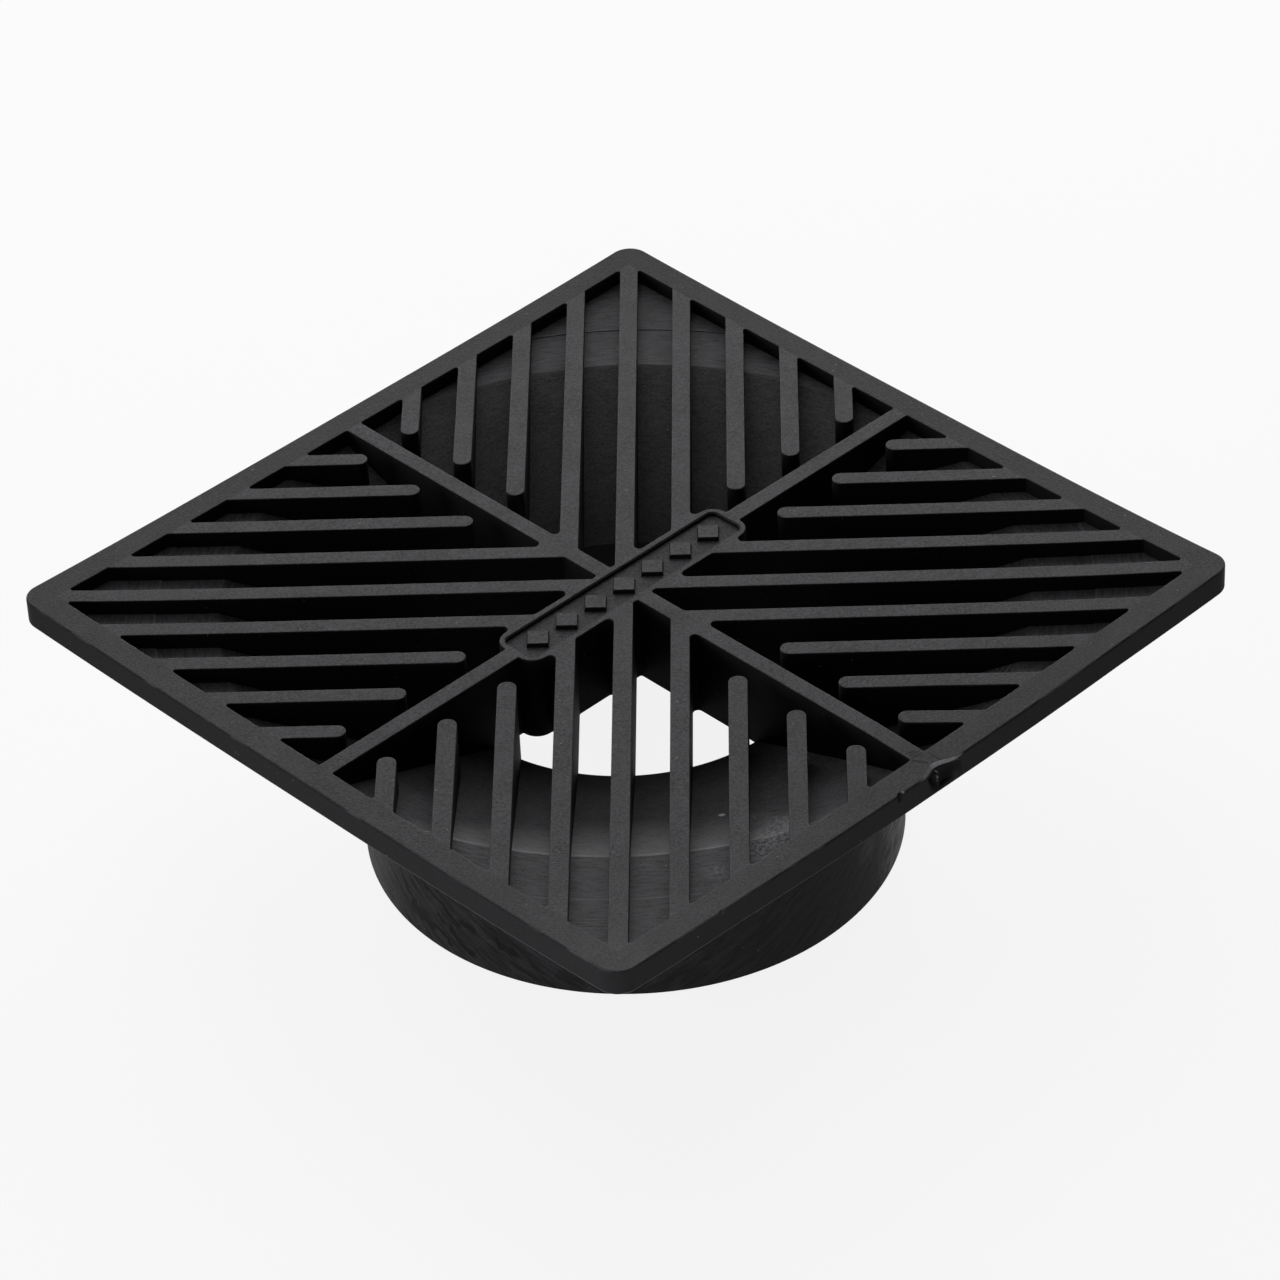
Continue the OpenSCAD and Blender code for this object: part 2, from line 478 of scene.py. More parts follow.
def grille_tree():
    """Cuts the slots, their rounded top edges and the centre recess from the blank."""
    solids, wear = ("Blank", "Pad", "Body"), ("Dent", "Nick", "Small nick")
    lengths = ("Slot top", "Slot bottom", "Slot rounding", "Recess floor")
    lengths += ("Lozenge pitch", "Lozenge radius", "Lozenge height")
    sockets = [
        *((name, "Object") for name in (*solids, *wear, "Dish space", "Slot section", "Recess")),
        *((name, "Float") for name in lengths),
        ("Lozenge count", "Int"),
        ("Material", "Material"),
    ]
    tree, given = new_tree("grille", sockets)

    def add(kind, inputs=(), **settings):
        return add_node(tree, kind, inputs, **settings)

    def out(item, index=0):
        return item.outputs[index]

    def held(name):
        """The geometry of a working object that the modifier names."""
        return add("GeometryNodeObjectInfo", {"Object": given[name]}).outputs["Geometry"]

    # Round the corners of the first quarter's slots, then mirror them into the other three
    corner = out(add("GeometryNodeInputRadius"))
    fillet = {"Curve": given["Geometry"], "Count": 7, "Radius": corner, "Limit Radius": True}
    rounded = add("GeometryNodeFilletCurve", fillet, mode="POLY")
    even = add("GeometryNodeSetCurveRadius", {"Curve": out(rounded), "Radius": 1.0})
    quarters = add("GeometryNodeJoinGeometry")
    for scale in ((1, 1, 1), (-1, 1, 1), (-1, -1, 1), (1, -1, 1)):
        turned = out(add("GeometryNodeTransform", {"Geometry": out(even), "Scale": scale}))
        if scale[0] * scale[1] < 0:
            turned = out(add("GeometryNodeReverseCurve", {"Curve": turned}))
        tree.links.new(turned, quarters.inputs[0])
    outlines = out(quarters)

    # Walls swept along each outline, closed above and below
    sweep = {"Curve": outlines, "Profile Curve": held("Slot section")}
    walls = add("GeometryNodeCurveToMesh", sweep)
    tangent = out(add("GeometryNodeInputTangent"))
    outward = add("ShaderNodeVectorMath", {0: tangent, 1: (0, 0, 1)}, operation="CROSS_PRODUCT")
    widening = {0: out(outward), "Scale": given["Slot rounding"]}
    flare = add("ShaderNodeVectorMath", widening, operation="SCALE")
    wide = add("GeometryNodeSetPosition", {"Geometry": outlines, "Offset": out(flare)})
    lid = add("GeometryNodeFillCurve", {"Curve": out(wide)}, mode="NGONS")
    lid_place = add("ShaderNodeCombineXYZ", {"Z": given["Slot top"]})
    lid_up = add("GeometryNodeTransform", {"Geometry": out(lid), "Translation": out(lid_place)})
    base = add("GeometryNodeFillCurve", {"Curve": outlines}, mode="NGONS")
    base_place = add("ShaderNodeCombineXYZ", {"Z": given["Slot bottom"]})
    placing = {"Geometry": out(base), "Translation": out(base_place)}
    base_down = add("GeometryNodeTransform", placing)
    base_flip = add("GeometryNodeFlipFaces", {"Mesh": out(base_down)})
    shell = add("GeometryNodeJoinGeometry")
    for part in (walls, lid_up, base_flip):
        tree.links.new(out(part), shell.inputs[0])
    cutters = add("GeometryNodeMergeByDistance", {"Geometry": out(shell), "Distance": 1e-6})

    # Keep the slots above the dish, then cut them from the joined blank
    kept = add("GeometryNodeMeshBoolean", operation="INTERSECT", solver="MANIFOLD")
    tree.links.new(out(cutters), kept.inputs["Mesh 2"])
    tree.links.new(held("Dish space"), kept.inputs["Mesh 2"])
    joined = add("GeometryNodeMeshBoolean", operation="UNION", solver="MANIFOLD")
    for name in solids:
        tree.links.new(held(name), joined.inputs["Mesh 2"])
    whole = {"Mesh 1": out(joined)}
    cut = add("GeometryNodeMeshBoolean", whole, operation="DIFFERENCE", solver="MANIFOLD")
    tree.links.new(out(kept), cut.inputs["Mesh 2"])
    for name in ("Recess", *wear):
        tree.links.new(held(name), cut.inputs["Mesh 2"])

    # A row of lozenges that rise from the recess
    span = add("ShaderNodeMath", {0: given["Lozenge count"], 1: -1.0}, operation="ADD")
    shift = add("ShaderNodeMath", {0: out(span), 1: given["Lozenge pitch"]}, operation="MULTIPLY")
    start = add("ShaderNodeMath", {0: out(shift), 1: -0.5}, operation="MULTIPLY")
    row_start = add("ShaderNodeCombineXYZ", {"X": out(start), "Z": given["Recess floor"]})
    row_step = add("ShaderNodeCombineXYZ", {"X": given["Lozenge pitch"]})
    steps = {
        "Count": given["Lozenge count"],
        "Start Location": out(row_start),
        "Offset": out(row_step),
    }
    row = add("GeometryNodeMeshLine", steps, mode="OFFSET", count_mode="TOTAL")
    top_radius = add("ShaderNodeMath", {0: given["Lozenge radius"], 1: -0.3 * MM}, operation="ADD")
    sizes = {
        "Vertices": 4,
        "Radius Top": out(top_radius),
        "Radius Bottom": given["Lozenge radius"],
        "Depth": given["Lozenge height"],
    }
    lozenge = add("GeometryNodeMeshCone", sizes)
    placed = add("GeometryNodeInstanceOnPoints", {"Points": out(row), "Instance": out(lozenge)})
    real = add("GeometryNodeRealizeInstances", {"Geometry": out(placed)})
    union = add("GeometryNodeMeshBoolean", operation="UNION", solver="MANIFOLD")
    tree.links.new(out(cut), union.inputs["Mesh 2"])
    tree.links.new(out(real), union.inputs["Mesh 2"])

    final = add("GeometryNodeRealizeInstances", {"Geometry": out(union)})
    paint = {"Geometry": out(final), "Material": given["Material"]}
    painted = add("GeometryNodeSetMaterial", paint)
    end = add("NodeGroupOutput")
    tree.links.new(out(painted), end.inputs[0])
    return tree


# Operators

class GRATE_OT_moulding(bpy.types.Operator):
    """Build the moulding: rim, ribs, bars, centre plate, dish and collar"""

    bl_idname = "drain_grate.moulding"
    bl_label = "Build moulding"

    def execute(self, context):
        s = context.scene.drain_grate_sizes
        colours = context.scene.drain_grate_colours
        floor = TOP - s.floor_drop
        blank = lofted_solid("blank", plate_rings(s))
        pad_side = PLATE_SIDE - 2 * s.wall
        pad_outline = rounded_rectangle(pad_side, pad_side, 2 * MM)
        pad = lofted_solid("pad", [(pad_outline, floor - s.wall), (pad_outline, floor - 0.5 * MM)])
        body = turned_solid("body", body_profile(s))
        space = turned_solid("dish_space", dish_profile(s))
        above, below = TOP + 1 * MM, s.socket_depth - 2 * MM
        r = s.slot_rounding
        lip = [(r - x, TOP - r + y) for x, y in arc((0, 0), r, 90, 0, 6)]
        section = [(r, above), *lip, (0.0, below)]
        slot_section = polyline_object("slot_section", [[(x, -z, 1.0) for x, z in section]], False)
        recess_l = s.centre_length - 2 * s.border_width
        recess_w = s.centre_width - 2 * s.border_width
        lift = 0.25 * MM
        inner = rounded_rectangle(recess_l, recess_w, s.border_width)
        outer = rounded_rectangle(recess_l + 2 * lift, recess_w + 2 * lift, s.border_width + lift)
        recess_levels = ((inner, TOP - s.recess_depth), (inner, TOP - lift), (outer, TOP))
        recess = lofted_solid("recess", [*recess_levels, (outer, TOP + 1 * MM)])
        dent = edge_bite("dent", *DENT)
        nick = edge_bite("nick", *NICK)
        small_nick = edge_bite("small_nick", *SMALL_NICK)
        outlines = polyline_object("outlines", slot_outlines(s))
        values = {
            "Blank": blank,
            "Pad": pad,
            "Body": body,
            "Dish space": space,
            "Slot section": slot_section,
            "Recess": recess,
            "Dent": dent,
            "Nick": nick,
            "Small nick": small_nick,
            "Slot top": above,
            "Slot bottom": below,
            "Slot rounding": r,
            "Lozenge count": s.lozenge_count,
            "Lozenge pitch": recess_l / (s.lozenge_count + 0.4),
            "Lozenge radius": s.lozenge_size / 2,
            "Lozenge height": s.recess_depth + 0.1 * MM,
            "Recess floor": TOP - s.recess_depth - 0.1 * MM,
            "Material": plastic_material(s, colours),
        }
        mesh = run_tree(outlines, grille_tree(), values)
        warp(mesh, s)
        moulding = new_object("grate_moulding", mesh)
        remove(blank, pad, body, space, slot_section, recess, dent, nick, small_nick, outlines)
        shade(moulding)
        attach(moulding, "root")
        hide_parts("grate")
        return {"FINISHED"}


# Distances from the axis, in millimetres, where flat faces are cut so that they can bend
BEND_CUTS = (12, 24, 36, 46, 54, 60, 65, 68.5)
# The part of the front edge that hangs, as shares of half the plate's side: how far it reaches
# to each side of the middle, and where it starts on the way to the edge
SAG_REACH, SAG_START = 0.6, 0.8
SHARP_ANGLE = math.radians(17)


def warp(mesh, s):
    """Bends the plate as it did on cooling: corners up, the front edge's middle down."""
    shape = bmesh.new()
    shape.from_mesh(mesh)
    for along in BEND_CUTS:
        for side in (-1, 1):
            for axis in (0, 1):
                place = Vector((0.0, 0.0, 0.0))
                place[axis] = side * along * MM
                bmesh.ops.bisect_plane(
                    shape,
                    geom=[*shape.verts, *shape.edges, *shape.faces],
                    dist=SHORTEST_EDGE,
                    plane_co=place,
                    plane_no=place.normalized(),
                )
    bmesh.ops.remove_doubles(shape, verts=shape.verts, dist=SHORTEST_EDGE)
    unbent = shape.verts.layers.float.new("unbent_height")
    for vertex in shape.verts:
        vertex[unbent] = vertex.co.z
        x, y = vertex.co.x / FACE, vertex.co.y / FACE
        share = (vertex.co.z - s.socket_depth) / (TOP - s.edge_height - s.socket_depth)
        middle = max(0.0, 1 - (x / SAG_REACH) ** 2)
        middle *= max(0.0, (-y - SAG_START) / (1 - SAG_START))
        lift = s.corner_lift * (1 - 0.2 * y)
        bend = lift * abs(x * y) ** 3 - s.front_sag * middle
        vertex.co.z += bend * min(1.0, max(0.0, share))
    shape.to_mesh(mesh)
    shape.free()


def shade(item):
    """Smooth shading with sharp edges by angle, weighted so that flat faces stay flat."""
    for face in item.data.polygons:
        face.use_smooth = True
    item.data.set_sharp_from_angle(angle=SHARP_ANGLE)
    modifier = item.modifiers.new("weighted normals", "WEIGHTED_NORMAL")
    modifier.keep_sharp = True
    bpy.context.view_layer.update()
    plain = item.data
    graph = bpy.context.evaluated_depsgraph_get()
    item.data = bpy.data.meshes.new_from_object(item.evaluated_get(graph))
    item.modifiers.remove(modifier)
    bpy.data.meshes.remove(plain)
    item.data.name = item.name


# Dark flow lines on the left of the collar: a line's width, then its points in millimetres
# round the collar from the near corner and up from its rim
FLOW_LINES = (
    (0.9, ((-47.7, 11.3), (-45.9, 9.0), (-43.6, 6.2))),
    (2.2, ((-43.6, 6.2), (-41.5, 4.9), (-39.2, 4.3))),
    (1.1, ((-39.2, 4.3), (-35.9, 3.9), (-34.5, 2.6))),
    (1.1, ((-41.4, 13.1), (-38.1, 11.8), (-35.4, 9.9), (-32.6, 7.7))),
    (1.6, ((-34.4, 6.3), (-31.9, 3.8), (-30.1, 2.7))),
    (0.9, ((-37.4, 8.0), (-36.1, 6.5))),
    (0.9, ((-41.7, 6.4), (-40.6, 5.8))),
    (2.0, ((-31.6, 9.4), (-29.1, 8.4))),
    (1.8, ((-24.3, 8.2), (-23.3, 6.9))),
    (1.6, ((-21.6, 6.8), (-20.6, 5.9))),
)
# Fine cracks where the front rib meets the rim, seen from above, as (x0, y0, x1, y1, width)
RIB_CRACKS = (
    (-1.5, -70.3, -0.3, -72.4, 0.6),
    (-1.0, -69.8, 0.9, -70.0, 0.5),
    (-0.9, -69.1, 0.8, -69.4, 0.4),
    (-0.8, -68.4, 0.5, -68.8, 0.4),
    (1.8, -71.6, 1.9, -73.4, 0.45),
    (1.9, -73.4, 3.4, -74.3, 0.4),
)


# Pale scuffs in the near quarter of the dish, in millimetres, as x, y, depth below the top face
# and radius, and how pale they are
SCUFFS = (
    (22, -61, 3, 8, 0.5),
    (29, -62, 3.5, 8, 0.6),
    (-24, -62.5, 4.6, 4.5, 1.0),
    (-29, -65, 3.1, 5.5, 1.0),
    (-33, -65.5, 3, 4, 0.8),
    (-42, -64.5, 3, 3, 0.7),
    (-25, -56.5, 6.3, 3.5, 0.6),
)
# How far inside the dish's radius its rounded crease lies, where a painted highlight line is drawn
CREASE_INSET = 0.6 * MM


def grains(size):
    """The scale of a pattern whose grains are this many millimetres wide."""
    return 1 / (size * MM)


class Surface:
    """The moulding's surface in a material: where a point lies on it, and marks drawn there."""

    def __init__(self, tree):
        self.tree = tree
        texture = tree.nodes.new("ShaderNodeTexCoord").outputs
        self.place = texture["Object"]
        self.axes = add_node(tree, "ShaderNodeSeparateXYZ", (self.place,)).outputs
        self.slope = add_node(tree, "ShaderNodeSeparateXYZ", (texture["Normal"],)).outputs["Z"]
        self.upward = self.add("MapRange", self.slope, 0.5, 0.9)
        below_top = self.add("MapRange", self.axes["Z"], TOP - 1.5 * MM, TOP - 2 * MM)
        self.sunk = self.times(self.upward, below_top)

        # Distance from the axis, round and square, and the turn about it from the near corner,
        # which lies towards -X and -Y
        self.flat = self.add("VectorMath", self.place, (1, 1, 0), operation="MULTIPLY")
        self.radius = self.add("VectorMath", self.flat, operation="LENGTH")
        sides = [self.add("Math", self.axes[i], operation="ABSOLUTE") for i in (0, 1)]
        self.square = self.most(*sides)
        self.outermost = self.add("MapRange", self.square, FACE - 0.8 * MM, FACE - 0.5 * MM)
        near, right = (-0.7071, -0.7071, 0), (0.7071, -0.7071, 0)
        self.ahead = self.add("VectorMath", self.flat, near, operation="DOT_PRODUCT")
        aside = self.add("VectorMath", self.flat, right, operation="DOT_PRODUCT")
        self.turn = self.add("Math", aside, self.ahead, operation="ARCTAN2")

        # Grain, mottling, and lines brushed round the dish. The real grain and lines are about
        # 0.1 mm wide, too fine to show, so they are drawn about four times as coarse.
        self.grain = self.add("TexNoise", self.place, grains(0.4), 3.0)
        self.mottle = self.add("TexNoise", self.place, grains(6.25), 3.0)
        around, up = self.times(self.turn, 0.012), self.times(self.axes["Z"], 0.3)
        swept = self.add("CombineXYZ", self.radius, around, up)
        self.brushed = self.add("TexNoise", swept, grains(0.455), 2.0, 0.5, 2.0, 0.4)

    def add(self, kind, *inputs, **settings):
        """The first output in use of a new node."""
        item = add_node(self.tree, "ShaderNode" + kind, inputs, **settings)
        return next(output for output in item.outputs if output.enabled)

    def times(self, *values):
        """The product of several values."""
        result = values[0]
        for value in values[1:]:
            result = self.add("Math", result, value, operation="MULTIPLY")
        return result

    def most(self, *values):
        """The largest of several values."""
        result = values[0]
        for value in values[1:]:
            result = self.add("Math", result, value, operation="MAXIMUM")
        return result

    def near(self, value, middle, reach):
        """1 where a value is close to the middle, falling to 0 at this reach."""
        apart = self.add("Math", value, middle, operation="SUBTRACT")
        apart = self.add("Math", apart, operation="ABSOLUTE")
        return self.add("MapRange", apart, reach, 0.4 * reach)

    def spot(self, x, y, below, radius, core=0.4):
        """1 near a point, falling to 0 at this radius, from this share of it.

        The point is given in millimetres, as x, y and its depth below the top face.
        """
        centre = (x * MM, y * MM, TOP - below * MM)
        apart = self.add("VectorMath", self.place, centre, operation="DISTANCE")
        return self.add("MapRange", apart, radius * MM, core * radius * MM)

    def stroke(self, where, x0, y0, x1, y1, width):
        """1 on a straight mark between two points of a flat map, in millimetres."""
        run = ((x1 - x0) * MM, (y1 - y0) * MM, 0.0)
        start = (x0 * MM, y0 * MM, 0.0)
        apart = self.add("VectorMath", where, start, operation="SUBTRACT")
        done = self.add("VectorMath", apart, run, operation="DOT_PRODUCT")
        share = self.add("MapRange", done, 0.0, run[0] ** 2 + run[1] ** 2)
        reached = self.add("VectorMath", run, share, operation="SCALE")
        off = self.add("VectorMath", apart, reached, operation="DISTANCE")
        return self.add("MapRange", off, 0.6 * width * MM, 0.3 * width * MM)


def collar_marks(skin, sizes):
    """Dark flow marks all over the collar, a paler skin on its left that is painted light, and
    pale rubs on its right with a painted reflection along its edge.
    """
    collar = sizes.collar_diameter / 2
    stop = sizes.socket_depth
    up = skin.axes["Z"]
    on_collar = skin.times(
        skin.add("MapRange", skin.slope, 0.4, 0.2),
        skin.add("MapRange", up, stop, stop - 2 * MM),
        skin.add("MapRange", skin.radius, collar - 1.95 * MM, collar - 0.95 * MM),
        skin.add("MapRange", skin.radius, collar + 1.05 * MM, collar + 0.35 * MM),
    )

    # The marks lean down towards the near corner from both sides. Each is about 1.4 mm wide
    # and 6.7 mm long.
    lean, width_to_length = 0.64, 0.2143
    around = skin.times(skin.turn, collar)
    inwards = skin.times(skin.add("Math", around, operation="ABSOLUTE"), -1.0)
    along = skin.add("Math", inwards, skin.times(up, lean), operation="SUBTRACT")
    across = skin.add("Math", skin.times(inwards, lean), up, operation="ADD")
    flow = skin.add("CombineXYZ", skin.times(along, width_to_length), across)
    bark = skin.add("TexNoise", flow, grains(1.43), 5.0, 0.5, 2.0, 0.4)
    left = skin.near(skin.turn, -0.7, 1.5)
    fine = skin.times(
        skin.add("MapRange", bark, 0.5, 0.36),
        skin.add("MapRange", left, 0.0, 1.0, 0.2, 0.55),
    )

    # Darker lines on the left, which waver a little
    unrolled = skin.add("CombineXYZ", around, up)
    noise = add_node(skin.tree, "ShaderNodeTexNoise", (skin.place, grains(2.5)))
    middle = (0.5, 0.5, 0.5)
    wobble = skin.add("VectorMath", noise.outputs["Color"], middle, operation="SUBTRACT")
    wobble = skin.add("VectorMath", wobble, (3 * MM, 3 * MM, 0), operation="MULTIPLY")
    uneven = skin.add("VectorMath", unrolled, wobble, operation="ADD")
    drawn = [
        skin.stroke(uneven, *points[i], *points[i + 1], width)
        for width, points in FLOW_LINES
        for i in range(len(points) - 1)
    ]
    streaks = skin.times(on_collar, skin.most(fine, *drawn), 0.9)

    # Painted light and reflection: a paler skin on the left, and pale rubs with a painted
    # reflection near the right edge
    between = skin.times(
        skin.add("MapRange", bark, 0.48, 0.66, 0.0, 0.4),
        skin.add("MapRange", left, 0.0, 1.0, 0.3, 1.0),
    )
    painted_left_light = skin.times(
        on_collar,
        skin.most(skin.near(skin.turn, -1.4, 0.45), between),
        skin.add("MapRange", skin.grain, 0.3, 0.6, 0.5, 1.0),
        0.8,
    )
    # Painted reflection near the collar's right edge, and one pale rub
    rubbed = skin.most(
        skin.times(skin.near(skin.turn, 1.35, 0.27), 0.85),
        skin.times(skin.spot(11.6, -47, 40.5, 4, 0.1), 0.3),
    )
    rough = skin.add("TexNoise", flow, grains(0.893), 5.0, 0.5, 2.0, 0.4)
    rubs = skin.times(on_collar, skin.add("MapRange", rough, 0.36, 0.54), rubbed)
    return streaks, painted_left_light, rubs


def rib_cracks(skin):
    """Fine cracks at the gate mark on the front rib, and where that rib meets the rim."""
    cells = skin.add("TexVoronoi", skin.place, grains(1.11), feature="DISTANCE_TO_EDGE")
    crazed = skin.times(skin.add("MapRange", cells, 0.07, 0.02), skin.spot(0, -13.5, 0, 3.2))
    drawn = [skin.stroke(skin.flat, *crack) for crack in RIB_CRACKS]
    return skin.times(skin.upward, skin.most(crazed, *drawn), 0.8)


def dish_scuffs(skin):
    """Pale scuffs in the near quarter of the dish."""
    patches = [
        skin.times(skin.spot(x, y, below, radius, 0.1), strength)
        for x, y, below, radius, strength in SCUFFS
    ]
    rough = skin.add("TexNoise", skin.place, grains(0.556), 4.0)
    rough = skin.add("MapRange", rough, 0.42, 0.62, 0.0, 0.75)
    return skin.times(skin.most(*patches), skin.sunk, rough)


def dent_marks_and_painted_light(skin, tilted):
    """Plastic whitened by stretching round the dent, with a painted highlight on its lip, pale
    chips, and painted shade inside it.
    """
    x, y, z = (skin.axes[axis] for axis in "XYZ")
    # Painted highlight on the dent's lip, partly whitened plastic
    lip = skin.times(
        tilted,
        skin.most(
            skin.spot(2.2, -74, 0.8, 4.0, 0.5),
            skin.times(skin.spot(-1.6, -74, 0.8, 3.4, 0.5), 0.55),
        ),
        skin.add("MapRange", skin.grain, 0.35, 0.55, 0.6, 1.0),
        skin.add("MapRange", z, TOP - 1.0 * MM, TOP - 0.8 * MM),
    )
    patchy = skin.add("TexNoise", skin.place, grains(0.556), 1.0)
    ridge = skin.times(
        skin.near(x, 0.1 * MM, 0.45 * MM),
        skin.add("MapRange", y, 1.2 * MM - FACE, 0.9 * MM - FACE),
        skin.add("MapRange", z, TOP - 1.1 * MM, TOP - 1.4 * MM),
        skin.add("MapRange", z, TOP - 3.4 * MM, TOP - 2.9 * MM),
        skin.add("MapRange", patchy, 0.42, 0.58),
        0.5,
    )
    nick = skin.times(skin.spot(-8.55, -74.8, 0.5, 0.32), 0.6)
    # Painted shade inside the dent
    painted_dent_shade = skin.times(
        skin.near(x, 1.6 * MM, 5 * MM),
        skin.add("MapRange", y, 2.0 * MM - FACE, 1.7 * MM - FACE),
        skin.add("MapRange", skin.square, FACE - 0.1 * MM, FACE - 0.3 * MM),
        skin.add("MapRange", z, TOP - 0.8 * MM, TOP - 1.0 * MM),
        skin.add("MapRange", z, TOP - 4.85 * MM, TOP - 4.6 * MM),
    )
    return skin.most(lip, ridge, nick), painted_dent_shade


def pale_edges_and_highlights(skin, sizes, tilted):
    """Pale rounded outer edges, a painted highlight on the dish's crease and on the insert line,
    and a painted reflection along the plate's lower edge at its parting line.
    """
    patchy = skin.add("TexNoise", skin.place, grains(7.7))
    patchy = skin.add("MapRange", patchy, 0.52, 0.7)
    edges = skin.times(tilted, skin.outermost, patchy, 0.3)
    # Painted highlight along the dish's crease, on the near side only
    crease = skin.times(
        skin.sunk,
        skin.near(skin.radius, sizes.dish_radius - CREASE_INSET, 0.35 * MM),
        skin.add("MapRange", skin.ahead, 20 * MM, 40 * MM),
        0.25,
    )
    # Painted highlight along the insert line
    insert = skin.times(
        skin.sunk,
        skin.near(skin.radius, sizes.witness_radius, 0.3 * MM),
        skin.add("MapRange", skin.mottle, 0.35, 0.5),
        0.35,
    )
    # Painted reflection along the plate's lower edge
    height = add_node(skin.tree, "ShaderNodeAttribute", attribute_name="unbent_height")
    low_edge = TOP - sizes.edge_height + 0.15 * MM
    low_edge_reflection = skin.near(height.outputs["Fac"], low_edge, 0.25 * MM)
    return skin.most(edges, crease, insert, skin.times(skin.outermost, low_edge_reflection, 0.4))


def base_colour_with_painted_light(skin, sizes, colours):
    """The plastic's colour before it has any marks, with painted light and shade from the faces'
    slope and place.
    """
    # Grain, with painted sheen making upward faces paler and painted shade making the sides and
    # the rim darker, most of all the far rim
    grain = skin.add("MapRange", skin.grain, 0.2, 0.8)
    mottled = skin.add("MapRange", skin.mottle, 0.3, 0.7, -0.1, 0.1)
    opening = FACE - sizes.rim_width
    painted_rim_shade = skin.add("MapRange", skin.ahead, -30 * MM, 40 * MM, 0.42, 0.75)
    pale = skin.times(
        skin.add("Math", grain, mottled, operation="ADD"),
        skin.add("MapRange", skin.upward, 0.0, 1.0, 0.12, 0.9),
        skin.add("MapRange", skin.square, opening - 0.2 * MM, opening + 0.2 * MM, 1.0, painted_rim_shade),
    )
    colour = skin.add("Mix", pale, colours.plastic, colours.bloom_and_painted_light, data_type="RGBA")

    # The dish is paler just inside its crease on the near side and on the level floor, along the
    # brushed lines, as painted light and sheen, and darker near the drain hole, as painted shade
    crease = sizes.dish_radius - CREASE_INSET
    painted_light_band = skin.times(
        skin.add("MapRange", skin.radius, 54 * MM, 61 * MM),
        skin.add("MapRange", skin.ahead, 20 * MM, 35 * MM),
        0.4,
    )
    level = skin.add("MapRange", skin.radius, crease - 0.1 * MM, crease + 0.3 * MM, 0.0, 0.6)
    brushed = skin.add("MapRange", skin.brushed, 0.3, 0.6)
    paler = skin.times(skin.sunk, skin.most(painted_light_band, level), brushed)
    colour = skin.add("Mix", paler, colour, colours.bloom_and_painted_light, data_type="RGBA")
    beyond = skin.add("MapRange", skin.radius, crease + 0.1 * MM, crease + 1.1 * MM, 0.45, 0.6)
    lines = skin.times(skin.add("MapRange", skin.brushed, 0.45, 0.7), skin.sunk, beyond)
    colour = skin.add("Mix", lines, colour, colours.bloom_and_painted_light, data_type="RGBA")
    drain = sizes.drain_radius
    # Painted shade: darker towards the drain hole
    painted_drain_shade = skin.add("MapRange", skin.radius, drain + 12.5 * MM, drain + 2.5 * MM, 0.0, 0.5)
    painted_drain_shade = skin.times(skin.sunk, painted_drain_shade)
    return skin.add("Mix", painted_drain_shade, colour, colours.plastic, data_type="RGBA")


def plastic_material(sizes, colours):
    """Moulded black polyolefin, left as moulded.

    The eye sees a dull black skin with a fine grain, paler on the top as painted sheen, lines
    brushed round the dish, and dark flow lines and pale rubs on the collar. Painted light, shade,
    highlights and reflections also sit in its colour.
    """
    material = bpy.data.materials.new("moulded_black_polyolefin")
    material.use_nodes = True
    tree = material.node_tree
    tree.nodes.clear()
    skin = Surface(tree)

    tilted = skin.times(
        skin.add("MapRange", skin.slope, 0.99, 0.93),
        skin.add("MapRange", skin.slope, 0.1, 0.35),
    )
    streaks, painted_left_light, rubs = collar_marks(skin, sizes)
    whitened_and_highlight, painted_dent_shade = dent_marks_and_painted_light(skin, tilted)
    specks = skin.add("TexNoise", skin.place, grains(0.77), 1.0)
    specks = skin.times(skin.add("MapRange", specks, 0.79, 0.81), 0.7)
    speck = skin.spot(-27, -50.5, 7.8, 0.7, 0.6)
    colour = base_colour_with_painted_light(skin, sizes, colours)
    # Each mix lays a colour over the last; several of them carry painted light, shade, highlights
    # and reflections
    for amount, over in (
        (painted_left_light, colours.bloom_and_painted_light),
        (skin.most(streaks, rib_cracks(skin), painted_dent_shade), colours.streak_and_painted_shade),
        (skin.most(dish_scuffs(skin), specks, pale_edges_and_highlights(skin, sizes, tilted)), colours.scuff_and_highlight),
        (skin.most(whitened_and_highlight, speck, rubs), colours.whitened_and_highlight),
    ):
        colour = skin.add("Mix", amount, colour, over, data_type="RGBA")

    lines = skin.add("Math", skin.grain, skin.times(skin.brushed, 0.3), operation="ADD")
    height = skin.add("Math", lines, skin.times(streaks, 3.0), operation="SUBTRACT")
    bump = {"Height": height, "Strength": 1.0, "Distance": 0.06 * MM}
    finish = {
        "Base Color": colour,
        "Roughness": skin.add("MapRange", skin.upward, 0.0, 1.0, 0.68, 0.5),
        "Specular IOR Level": 0.1,
        "Normal": add_node(tree, "ShaderNodeBump", bump).outputs[0],
    }
    shader = add_node(tree, "ShaderNodeBsdfPrincipled", finish)
    add_node(tree, "ShaderNodeOutputMaterial", (shader.outputs[0],))
    return material


class GRATE_OT_stage(bpy.types.Operator):
    """Build the floor, lights and camera"""

    bl_idname = "drain_grate.stage"
    bl_label = "Build stage"

    def execute(self, context):
        add_camera(context.scene)
        add_floor(context.scene.drain_grate_colours)
        for lamp in LAMPS:
            add_lamp(*lamp)
        set_world(context.scene)
        return {"FINISHED"}


